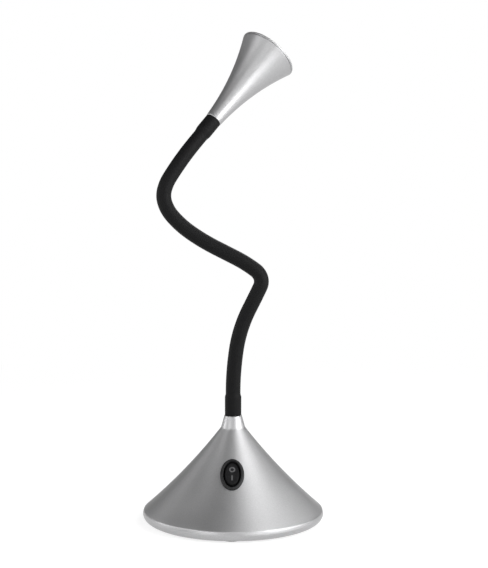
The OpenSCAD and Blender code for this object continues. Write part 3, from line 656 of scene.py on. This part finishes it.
@dataclass
class Switch:
    """The oval switch on the cone, in a frame with +Z out of the cone and +Y up its slope."""

    centre_height: float = 37 * MM
    bezel_half_width: float = 7.8 * MM
    bezel_half_height: float = 11.4 * MM
    bezel_top: float = 1.6 * MM
    bezel_edge: float = 1.3 * MM
    skirt: float = 2.4 * MM
    well_half_width: float = 5.8 * MM
    well_half_height: float = 9.6 * MM
    well_edge: float = 0.2 * MM
    well_depth: float = 9 * MM
    body_inset: float = 0.85 * MM
    body_gap: float = 0.1 * MM
    pivot_depth: float = 3 * MM
    rocker_half_width: float = 4.8 * MM
    rocker_half_height: float = 8.3 * MM
    rocker_edge: float = 0.8 * MM
    rocker_sink: float = 0.6 * MM
    rocker_depth: float = 6 * MM
    rocker_bow: float = 70 * MM
    face_shares: tuple[float, ...] = (0.85, 0.7, 0.5, 0.3, 0.1)
    tilt_deg: float = 6
    mark_offset: float = 3.2 * MM
    ring_radius: float = 2.0 * MM
    mark_width: float = 0.9 * MM
    mark_height: float = 0.12 * MM
    mark_sides: int = 48
    sides: int = 96
    sharp_deg: float = 40

    def place(self, base: Base) -> Matrix:
        """The switch's own frame.

        Args:
            base: The base whose cone carries the switch.

        Returns:
            The frame's place.
        """
        radius, elevation = base.cone_at(self.centre_height)
        stand = Matrix.Translation((0, -radius, self.centre_height))
        return stand @ Matrix.Rotation(math.pi / 2 - elevation, 4, "X")

    def opening(self, base: Base) -> bpy.types.Object:
        """Makes the solid of the hole in the cone that the switch's body fills.

        Args:
            base: The base whose cone carries the switch.

        Returns:
            The solid.
        """
        bm = bmesh.new()
        width = self.bezel_half_width - self.body_inset + self.body_gap
        height = self.bezel_half_height - self.body_inset + self.body_gap
        ends = [oval(width, height, -self.well_depth), oval(width, height, self.well_depth)]
        lofted(bm, ends, sides=self.sides)
        bmesh.ops.transform(bm, matrix=self.place(base), verts=bm.verts)
        return finish_mesh(bm, "switch_opening")

    def bezel(self, place: Matrix) -> bpy.types.Object:
        """Makes the bezel, its well and the body behind it, as one closed piece.

        Args:
            place: The switch's own frame.

        Returns:
            The bezel.
        """
        bm = bmesh.new()
        outer = (self.bezel_half_width, self.bezel_half_height)
        inner = (self.well_half_width, self.well_half_height)
        body = (outer[0] - self.body_inset, outer[1] - self.body_inset)
        stations = [
            oval(*body, -self.well_depth - self.well_edge),
            oval(*body, -self.skirt),
            oval(*outer, -self.skirt),
            *rounded_ovals(*outer, self.bezel_top, self.bezel_edge, steps=8),
            *rounded_ovals(*inner, self.bezel_top, -self.well_edge, steps=5, rise=False),
            oval(*inner, -self.well_depth),
        ]
        lofted(bm, stations, sides=self.sides)
        bmesh.ops.transform(bm, matrix=place, verts=bm.verts)
        return finish_mesh(bm, "switch_bezel", sharp_deg=self.sharp_deg)

    def rocker(self, place: Matrix) -> bpy.types.Object:
        """Makes the rocker: an oval block with a softly hollow face and rounded edges.

        Args:
            place: The rocker's own frame, at its pivot.

        Returns:
            The rocker.
        """
        bm = bmesh.new()
        top = self.pivot_depth - self.rocker_sink
        block = (self.rocker_half_width, self.rocker_half_height)
        face_width, face_height = (half - self.rocker_edge for half in block)
        stations = [
            oval(*block, top - self.rocker_depth),
            *rounded_ovals(*block, top, self.rocker_edge, steps=7),
            *(oval(face_width * share, face_height * share, top) for share in self.face_shares),
        ]
        lofted(bm, stations, sides=self.sides)
        for vert in bm.verts:
            if vert.co.z > top - self.rocker_depth / 2:
                vert.co.z += self.face_rise(vert.co.y)
        bmesh.ops.transform(bm, matrix=place, verts=bm.verts)
        return finish_mesh(bm, "rocker_cap", sharp_deg=self.sharp_deg)

    def face_rise(self, along: float) -> float:
        """How far the hollow face has risen at a distance from its middle."""
        return along**2 / (2 * self.rocker_bow)

    def mark(self, kind: Mark, place: Matrix) -> bpy.types.Object:
        """Makes one raised mark on the rocker's face.

        Args:
            kind: The ring for off or the bar for on.
            place: The rocker's own frame, at its pivot.

        Returns:
            The mark.
        """
        side = self.mark_offset if kind is Mark.OFF else -self.mark_offset
        top = self.pivot_depth - self.rocker_sink + self.face_rise(side)
        lean = Matrix.Rotation(math.atan2(side, self.rocker_bow), 4, "X")
        at = place @ Matrix.Translation((0, side, top)) @ lean
        half = self.mark_width / 2
        if kind is Mark.OFF:
            middle = self.ring_radius - half
            outline = [
                (middle - half, -self.mark_height), (middle + half, -self.mark_height),
                (middle + half, self.mark_height), (middle - half, self.mark_height),
            ]
            return turned("mark_off", outline, at, steps=self.mark_sides)
        bm = bmesh.new()
        bmesh.ops.create_cube(bm, size=2)
        size = Matrix.Diagonal((half, self.ring_radius, self.mark_height, 1))
        bmesh.ops.transform(bm, matrix=at @ size, verts=bm.verts)
        return finish_mesh(bm, "mark_on")

    def build(self, base: Base, dresser: Dresser) -> None:
        """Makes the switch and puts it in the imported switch's place.

        Args:
            base: The base whose cone carries the switch.
            dresser: Puts on the finishes.
        """
        place = self.place(base)
        bezel = dresser.dress(self.bezel(place), "black_plastic")
        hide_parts("switch_housing")
        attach(bezel, "base")
        pivot = place @ Matrix.Translation((0, 0, self.bezel_top - self.pivot_depth))
        tilted = pivot @ Matrix.Rotation(math.radians(-self.tilt_deg), 4, "X")
        rocker = dresser.dress(self.rocker(tilted), "rocker_plastic")
        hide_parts("switch_rocker")
        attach(rocker, "rocker")
        for kind in Mark:
            mark = dresser.dress(self.mark(kind, tilted), "mark_paint")
            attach(mark, "rocker")
        log.info("switch made: bezel, rocker and %d marks", len(Mark))


# The arm


@dataclass(frozen=True)
class Arc:
    """One arc of the arm: its link, its share of the length, its bend and the side it bends to."""

    link: int
    share: float
    bend_deg: float
    side_deg: float


@dataclass
class Arm:
    """The rubber sleeve, in one piece for each hinge and one at each end."""

    length: float = 243.5 * MM
    turn_deg: float = 1.2
    radius: float = 4.9 * MM
    cuff_radius: float = 5.45 * MM
    lower_cuff: float = 12 * MM
    lower_taper: float = 2.5 * MM
    upper_cuff: float = 10.5 * MM
    upper_taper: float = 4 * MM
    edge: float = 0.5 * MM
    edge_steps: int = 5
    step: float = 0.6 * MM
    sides: int = 56
    sharp_deg: float = 50
    bend_reach: float = 0.84
    arcs: tuple[Arc, ...] = (
        Arc(1, 30, 0, 0), Arc(2, 33, 5, 0), Arc(2, 23, 3, 0), Arc(3, 60, 19, 0),
        Arc(4, 31, 2, 180), Arc(4, 14, 48, 180), Arc(4, 11, 30, 180), Arc(5, 31, 10, 180),
        Arc(6, 27, 0, 0), Arc(6, 16, 3, -15), Arc(7, 26, 6, -10), Arc(7, 31, 14, -5),
        Arc(7, 19, 23, 15), Arc(8, 18, 33, 10), Arc(8, 17, 17, 15), Arc(9, 58, 12, 60),
        Arc(10, 42, 0, 0),
    )

    def arc_length(self, arc: Arc) -> float:
        """The real length of one arc."""
        return self.length * arc.share / sum(other.share for other in self.arcs)

    def link_ends(self) -> list[float]:
        """Adds up the arcs of each link.

        Returns:
            How far along the arm each link ends.
        """
        ends, run = {}, 0.0
        for arc in self.arcs:
            run += self.arc_length(arc)
            ends[arc.link] = run
        return [ends[link] for link in sorted(ends)]

    def place_at(self, along: float, base: Base) -> Matrix:
        """The arm's own frame at a distance along it, with +Z towards the head.

        Args:
            along: The distance from the neck's top.
            base: The base that the arm stands on.

        Returns:
            The frame's place.
        """
        turn = Matrix.Rotation(math.radians(self.turn_deg), 4, "Z")
        place = Matrix.Translation((0, 0, base.height)) @ turn
        left = along
        for arc in self.arcs:
            whole = self.arc_length(arc)
            run = min(left, whole)
            bend = math.radians(arc.bend_deg) * run / whole
            side = Matrix.Rotation(math.radians(arc.side_deg), 4, "Z")
            if bend > 0:
                radius = run / bend
                move = Vector((radius * (1 - math.cos(bend)), 0, radius * math.sin(bend)))
            else:
                move = Vector((0, 0, run))
            step = Matrix.Translation(move) @ Matrix.Rotation(bend, 4, "Y")
            place = place @ side @ step @ side.inverted()
            left -= run
            if left <= 0:
                break
        return place

    def radius_at(self, along: float) -> float:
        """The sleeve's radius, cuffs included.

        Args:
            along: The distance from the neck's top.

        Returns:
            The radius there.
        """
        swell = self.cuff_radius - self.radius
        from_top = self.length - along
        cuffs = (
            (self.lower_cuff, self.lower_taper, along),
            (self.upper_cuff, self.upper_taper, from_top),
        )
        for cuff, taper, distance in cuffs:
            if distance < cuff:
                edge = max(0.0, self.edge - distance)
                fall = self.edge - math.sqrt(self.edge**2 - edge**2)
                return self.cuff_radius - fall
            if distance < cuff + taper:
                share = (distance - cuff) / taper
                return self.cuff_radius - swell * (3 * share**2 - 2 * share**3)
        return self.radius

    def run(self, name: str, start: float, end: float, base: Base) -> bpy.types.Object:
        """Makes one closed length of the sleeve.

        Args:
            name: The piece's name.
            start: Where it starts along the arm.
            end: Where it ends along the arm.
            base: The base that the arm stands on.

        Returns:
            The piece.
        """
        steps = round((end - start) / self.step)
        spots = [start + (end - start) * i / steps for i in range(steps + 1)]
        edge_spots = [self.edge * i / self.edge_steps for i in range(1, self.edge_steps + 1)]
        if start == 0:
            spots += edge_spots
        if end == self.length:
            spots += [end - spot for spot in edge_spots]
        places = []
        for spot in sorted(set(spots)):
            size = self.radius_at(spot)
            places.append(self.place_at(spot, base) @ Matrix.Diagonal((size, size, 1, 1)))
        bm = bmesh.new()
        lofted(bm, places, sides=self.sides)
        return finish_mesh(bm, name, sharp_deg=self.sharp_deg)

    def build(self, base: Base, dresser: Dresser) -> None:
        """Makes the sleeve's lengths, one across each hinge and one at each end.

        Args:
            base: The base that the arm stands on.
            dresser: Puts on the finishes.
        """
        ends = self.link_ends()
        middles = [(low + high) / 2 for low, high in zip([0.0, *ends], ends)]
        pieces = [self.run("sleeve_foot", 0.0, middles[0], base)]
        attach(dresser.dress(pieces[0], "sleeve_rubber"), "base")
        for hinge, (low, high) in enumerate(zip(middles, middles[1:])):
            piece = self.run(f"sleeve_bend_{hinge + 1:02d}", low, high, base)
            dresser.dress(piece, "sleeve_rubber")
            before = ends[hinge] - self.bend_reach * (ends[hinge] - low)
            after = ends[hinge] + self.bend_reach * (high - ends[hinge])
            start = self.place_at(before, base).translation
            end = self.place_at(after, base).translation
            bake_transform(piece)
            pieces.append(piece)
        top = self.run("sleeve_top", middles[-1], self.length, base)
        dresser.dress(top, "sleeve_rubber")
        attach(top, "head")
        pieces.append(top)
        for link, piece in enumerate(pieces[: len(ends)], start=1):
            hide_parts(f"arm_sleeve_{link:02d}")
        log.info("sleeve made in %d lengths", len(pieces))


# The head


@dataclass
class Head:
    """The trumpet-shaped head, in a frame with +Z from the arm to the mouth."""

    length: float = 61 * MM
    neck_radius: float = 5.65 * MM
    mouth_radius: float = 20 * MM
    taper_share: float = 0.27
    flare_power: float = 2.1
    wall: float = 1.2 * MM
    mouth_edge: float = 0.1 * MM
    neck_edge: float = 0.4 * MM
    stem: float = 12 * MM
    stud_bore: float = 3.05 * MM
    fit: float = 0.05 * MM
    ring_proud: float = 1.6 * MM
    ring_width: float = 1.8 * MM
    ring_edge: float = 0.7 * MM
    ring_gap: float = 0.15 * MM
    lens_thickness: float = 2 * MM
    lens_dome: float = 1 * MM
    line_steps: int = 64
    steps_past_mouth: int = 4
    slope_reach: float = 0.001
    sides: int = 192
    ring_sides: int = 160

    def flare(self, share: float) -> float:
        """The radius at a share of the length."""
        rise = self.taper_share * share + (1 - self.taper_share) * share**self.flare_power
        return self.neck_radius + (self.mouth_radius - self.neck_radius) * rise

    def line(self, inset: float) -> list[Point2]:
        """The head's side from the arm to just past the mouth.

        Args:
            inset: How far it is set in from the outside.

        Returns:
            The line's points from the arm on.
        """
        points = []
        run = self.slope_reach * self.length
        for i in range(self.line_steps + self.steps_past_mouth):
            share = i / self.line_steps
            radius, along = self.flare(share), share * self.length
            angle = math.atan((self.flare(share + self.slope_reach) - radius) / run)
            points.append((radius - inset * math.cos(angle), along + inset * math.sin(angle)))
        return points

    def radius_on(self, line: list[Point2], along: float) -> float:
        """The radius of a line at one place.

        Args:
            line: The line's points, as (radius, distance from the arm).
            along: The distance from the arm.

        Returns:
            The radius there.
        """
        for low, high in zip(line, line[1:]):
            if low[1] <= along <= high[1]:
                return low[0] + (high[0] - low[0]) * (along - low[1]) / (high[1] - low[1])
        raise ValueError("the distance is off the line")

    def shell(self, place: Matrix) -> bpy.types.Object:
        """Makes the head's thin shell with its solid stem.

        Args:
            place: The head's own frame.

        Returns:
            The shell.
        """
        last = self.length - self.mouth_edge
        outer = [point for point in self.line(0) if self.neck_edge < point[1] < last]
        inside = self.line(self.wall)
        inner = [point for point in inside if self.stem < point[1] < self.length]
        rim_in = self.radius_on(inside, self.length)
        mouth = (self.mouth_radius, self.length)
        outline = [
            (self.stud_bore, 0.0),
            *round_corner((0, 0), (self.neck_radius, 0), outer[0], self.neck_edge, steps=4),
            *outer,
            *round_corner(outer[-1], mouth, (rim_in, self.length), self.mouth_edge, steps=5),
            (rim_in, self.length), *reversed(inner),
            (inner[0][0], self.stem), (self.stud_bore, self.stem),
        ]
        return turned("head_skin", outline, place, steps=self.sides)

    def ring(self, place: Matrix) -> bpy.types.Object:
        """Makes the ring that holds the lens and carries the flare on past a fine groove.

        Args:
            place: The head's own frame.

        Returns:
            The ring.
        """
        outside, inside = self.line(0), self.line(self.wall + self.fit)
        seat, front = self.length + self.ring_gap, self.length + self.ring_proud
        back = front - self.lens_dome - self.lens_thickness
        spigot = self.radius_on(inside, back)
        eye, recess = spigot - self.ring_width, spigot - self.ring_width / 2 + self.fit
        foot = (self.radius_on(outside, seat), seat)
        corner = (self.radius_on(outside, front), front)
        lens_front = front - self.lens_dome + self.fit
        outline = [
            (recess, back), (spigot, back), (self.radius_on(inside, seat), seat), foot,
            *round_corner(foot, corner, (eye, front), self.ring_edge, steps=8),
            (eye, front), (eye, lens_front), (recess, lens_front),
        ]
        return turned("lens_ring_skin", outline, place, steps=self.ring_sides)

    def build(self, place: Matrix, dresser: Dresser) -> None:
        """Makes the head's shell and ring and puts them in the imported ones' place.

        Args:
            place: The head's own frame.
            dresser: Puts on the finishes.
        """
        shell = dresser.dress(self.shell(place), "silver_paint")
        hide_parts("head_shell")
        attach(shell, "head")
        ring = dresser.dress(self.ring(place), "silver_paint")
        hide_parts("lens_ring")
        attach(ring, "head")
        log.info("head skin and lens ring made")


# The studio


@dataclass
class Softbox:
    """A rectangular area lamp that faces the object. Sizes are in metres, power in watts."""

    name: str
    turn_deg: float
    rise_deg: float
    width: float
    height: float
    power: float
    distance: float = 1.0
    target: tuple[float, float, float] = (0, 0, 150 * MM)

    def build(self) -> None:
        """Adds the lamp to the scene. Its turn runs from the camera's side to the right."""
        data = bpy.data.lights.new(self.name, "AREA")
        data.shape = "RECTANGLE"
        data.size = self.width
        data.size_y = self.height
        data.energy = self.power
        lamp = bpy.data.objects.new(self.name, data)
        turn, rise = math.radians(self.turn_deg), math.radians(self.rise_deg)
        level = math.cos(rise)
        way = Vector((math.sin(turn) * level, -math.cos(turn) * level, math.sin(rise)))
        lamp.location = Vector(self.target) + way * self.distance
        lamp.rotation_euler = way.to_track_quat("Z", "Y").to_euler()
        lamp.visible_camera = False
        bpy.context.scene.collection.objects.link(lamp)


# Each lamp's name, turn, rise, width, height and power
SOFTBOXES = (
    Softbox("key_low", 60, 10, 0.5, 0.35, 4.2),
    Softbox("key_mid", 60, 35, 0.45, 0.45, 3.5),
    Softbox("key_top", 62, 62, 0.45, 0.45, 1.8),
    Softbox("low_right", 30, 8, 0.4, 0.3, 1.8),
    Softbox("side_low", 92, 8, 0.4, 0.3, 1.8),
    Softbox("side", 92, 35, 0.4, 0.45, 1),
    Softbox("fill_front", -30, 8, 0.5, 0.3, 2),
    Softbox("fill_mid", -60, 32, 0.5, 0.4, 2),
    Softbox("fill_side", -92, 8, 0.5, 0.3, 2),
    Softbox("front", 0, 35, 0.5, 0.4, 1.2),
    Softbox("back_right", 150, 35, 0.5, 0.5, 3.2),
    Softbox("back_left", -120, 20, 0.5, 0.4, 0.5),
)


@dataclass
class Studio:
    """A white floor and backdrop, softboxes in a dim room, and the camera."""

    floor_half: float = 30
    floor_colour: Colour = (0.85, 0.85, 0.85)
    shadow_colour: Colour = (0.30, 0.30, 0.30)
    floor_glow: float = 0.78
    white_from: float = 250 * MM
    white_to: float = 700 * MM
    room_light: float = 0.12
    horizon_rise: float = 0.10
    camera_distance: float = 900 * MM
    camera_height: float = 243.2 * MM
    camera_turn_deg: float = 1.2
    camera_tip: float = 0.0947
    lens_mm: float = 87.24
    sensor_mm: float = 36
    shift_x: float = 0.0192

    def shown_ray(
        self, nodes: bpy.types.Nodes, links: bpy.types.NodeLinks
    ) -> bpy.types.NodeSocket:
        """Finds the rays that show the white floor and backdrop.

        Args:
            nodes: The nodes of the material or the world.
            links: Its links.

        Returns:
            One where a ray comes from the camera, a gloss or a clear piece, and zero elsewhere.
        """
        path = nodes.new("ShaderNodeLightPath")
        found = path.outputs["Is Camera Ray"]
        for kind in ("Is Glossy Ray", "Is Transmission Ray"):
            either = nodes.new("ShaderNodeMath")
            either.operation = "MAXIMUM"
            links.new(found, either.inputs[0])
            links.new(path.outputs[kind], either.inputs[1])
            found = either.outputs[0]
        return found

    def floor(self) -> None:
        """Adds a wide floor that looks white and still takes the lamp's shadow."""
        bm = bmesh.new()
        bmesh.ops.create_grid(bm, x_segments=1, y_segments=1, size=self.floor_half)
        piece = finish_mesh(bm, "floor")
        material = bpy.data.materials.new("floor_white")
        material.use_nodes = True
        nodes, links = material.node_tree.nodes, material.node_tree.links
        nodes.remove(nodes["Principled BSDF"])
        glow = nodes.new("ShaderNodeEmission")
        glow.inputs["Strength"].default_value = self.floor_glow
        soft = nodes.new("ShaderNodeBsdfDiffuse")
        soft.inputs["Color"].default_value = (*self.shadow_colour, 1)
        near = nodes.new("ShaderNodeAddShader")
        far = nodes.new("ShaderNodeEmission")
        place = nodes.new("ShaderNodeTexCoord")
        reach = nodes.new("ShaderNodeVectorMath")
        reach.operation = "LENGTH"
        fade = nodes.new("ShaderNodeMapRange")
        fade.interpolation_type = "SMOOTHSTEP"
        fade.inputs["From Min"].default_value = self.white_from
        fade.inputs["From Max"].default_value = self.white_to
        white = nodes.new("ShaderNodeMixShader")
        plain = nodes.new("ShaderNodeBsdfDiffuse")
        plain.inputs["Color"].default_value = (*self.floor_colour, 1)
        mix = nodes.new("ShaderNodeMixShader")
        links.new(glow.outputs[0], near.inputs[0])
        links.new(soft.outputs[0], near.inputs[1])
        links.new(place.outputs["Object"], reach.inputs[0])
        links.new(reach.outputs["Value"], fade.inputs["Value"])
        links.new(fade.outputs["Result"], white.inputs["Fac"])
        links.new(near.outputs[0], white.inputs[1])
        links.new(far.outputs[0], white.inputs[2])
        links.new(self.shown_ray(nodes, links), mix.inputs["Fac"])
        links.new(plain.outputs[0], mix.inputs[1])
        links.new(white.outputs[0], mix.inputs[2])
        links.new(mix.outputs[0], nodes["Material Output"].inputs["Surface"])
        piece.data.materials.append(material)

    def world(self) -> None:
        """Adds a white backdrop. Gloss sees it white at the horizon and dim overhead."""
        world = bpy.data.worlds.new("studio")
        world.use_nodes = True
        bpy.context.scene.world = world
        nodes, links = world.node_tree.nodes, world.node_tree.links
        room = nodes["Background"]
        room.inputs["Color"].default_value = WHITE
        room.inputs["Strength"].default_value = self.room_light
        backdrop = nodes.new("ShaderNodeBackground")
        backdrop.inputs["Color"].default_value = WHITE
        place = nodes.new("ShaderNodeTexCoord")
        split = nodes.new("ShaderNodeSeparateXYZ")
        fade = nodes.new("ShaderNodeMapRange")
        fade.interpolation_type = "SMOOTHSTEP"
        fade.inputs["From Min"].default_value = 0
        fade.inputs["From Max"].default_value = self.horizon_rise
        fade.inputs["To Min"].default_value = 1
        fade.inputs["To Max"].default_value = self.room_light
        path = nodes.new("ShaderNodeLightPath")
        level = nodes.new("ShaderNodeMath")
        level.operation = "MAXIMUM"
        mix = nodes.new("ShaderNodeMixShader")
        links.new(place.outputs["Generated"], split.inputs[0])
        links.new(split.outputs["Z"], fade.inputs["Value"])
        links.new(fade.outputs["Result"], level.inputs[0])
        links.new(path.outputs["Is Camera Ray"], level.inputs[1])
        links.new(level.outputs[0], backdrop.inputs["Strength"])
        links.new(self.shown_ray(nodes, links), mix.inputs["Fac"])
        links.new(room.outputs[0], mix.inputs[1])
        links.new(backdrop.outputs[0], mix.inputs[2])
        links.new(mix.outputs[0], nodes["World Output"].inputs["Surface"])

    def camera(self) -> None:
        """Adds the camera at the photograph's place."""
        data = bpy.data.cameras.new("camera")
        data.lens = self.lens_mm
        data.sensor_width = self.sensor_mm
        data.shift_x = self.shift_x
        camera = bpy.data.objects.new("camera", data)
        turn = math.radians(self.camera_turn_deg)
        away = self.camera_distance
        camera.location = (away * math.sin(turn), -away * math.cos(turn), self.camera_height)
        camera.rotation_euler = (math.pi / 2 - self.camera_tip, 0, turn)
        bpy.context.scene.collection.objects.link(camera)
        bpy.context.scene.camera = camera

    def build(self) -> None:
        """Adds the floor, the world, the lamps and the camera."""
        self.floor()
        self.world()
        for softbox in SOFTBOXES:
            softbox.build()
        self.camera()
        bpy.context.scene.view_settings.view_transform = "Standard"
        log.info("studio made")


def main() -> None:
    """Builds the lamp and its studio."""
    logging.basicConfig(level=logging.INFO, format="%(name)s: %(message)s")
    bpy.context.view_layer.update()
    dresser = Dresser()
    dresser.dress_nodes()
    base, switch, arm, head = Base(), Switch(), Arm(), Head()
    base.build([base.inlet(), switch.opening(base)], dresser)
    switch.build(base, dresser)
    arm.build(base, dresser)
    head.build(arm.place_at(arm.length, base), dresser)
    Studio().build()


if __name__ == "__main__":
    main()
